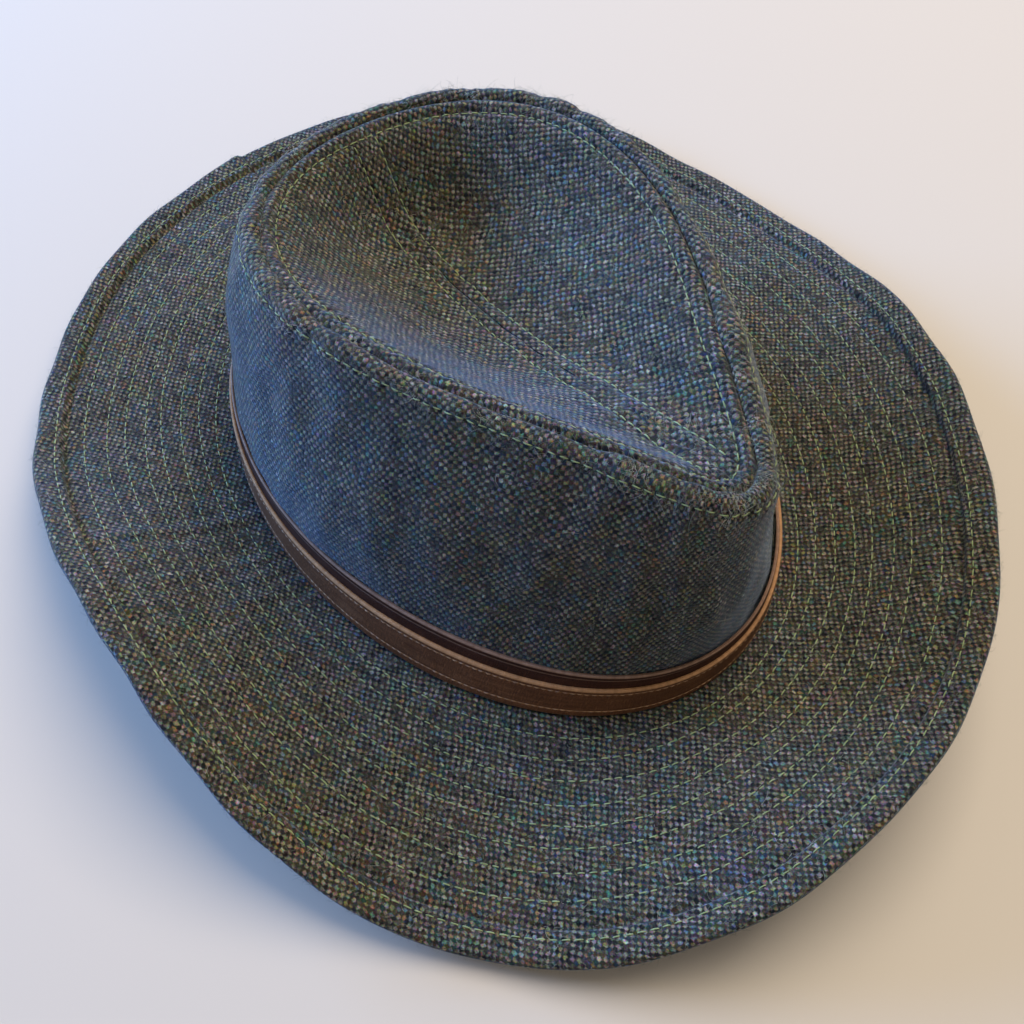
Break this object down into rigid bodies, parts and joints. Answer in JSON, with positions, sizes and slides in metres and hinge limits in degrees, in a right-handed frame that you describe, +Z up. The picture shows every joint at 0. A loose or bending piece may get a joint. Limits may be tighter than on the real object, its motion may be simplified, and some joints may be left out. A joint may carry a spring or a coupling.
{
  "type": "fedora hat",
  "caption": "Soft tweed hat with a dished teardrop crown, a wide wavy brim quilted with rows of stitching, and a leather band.",
  "frame": {"origin": "on the axis of the head opening, on the plane the hat stands on", "axes": "+Z up out of the crown, -Y towards the front of the hat, +X towards the wearer's left"},
  "size_m": [0.2925, 0.3513, 0.0957],
  "materials": {
    "tweed": "dark green, navy and brown flecked wool hopsack, matte with a soft nap",
    "green_thread": "pale olive sewing thread",
    "tan_thread": "tan sewing thread",
    "stiffener": "stiff non-woven interlining",
    "canvas": "fusible canvas",
    "lining": "dark satin",
    "sweat_cloth": "dark grosgrain cotton",
    "dark_leather": "dark brown, fine grain, satin",
    "brown_leather": "brown, fine grain, worn at the edges",
    "label_cloth": "blank woven tape"
  },
  "bodies": {
    "root": {"brim_upper": "tweed", "brim_stiffener": "stiffener", "brim_under": "tweed", "brim_quilting": "green_thread", "brim_edge_stitch": "green_thread", "crown_side": "tweed", "crown_tip_left": "tweed", "crown_tip_right": "tweed", "crown_side_interlining": "canvas", "crown_tip_interlining": "canvas", "tip_seam_stitch": "green_thread", "ridge_stitch_inner": "green_thread", "ridge_stitch_outer": "green_thread", "lining_side": "lining", "lining_tip": "lining", "sweatband": "sweat_cloth", "sweatband_stitch": "tan_thread", "hatband_base": "dark_leather", "hatband_strap": "brown_leather", "hatband_stitch_upper": "tan_thread", "hatband_stitch_lower": "tan_thread", "hatband_keeper": "brown_leather", "care_label": "label_cloth"}
  },
  "joints": []
}
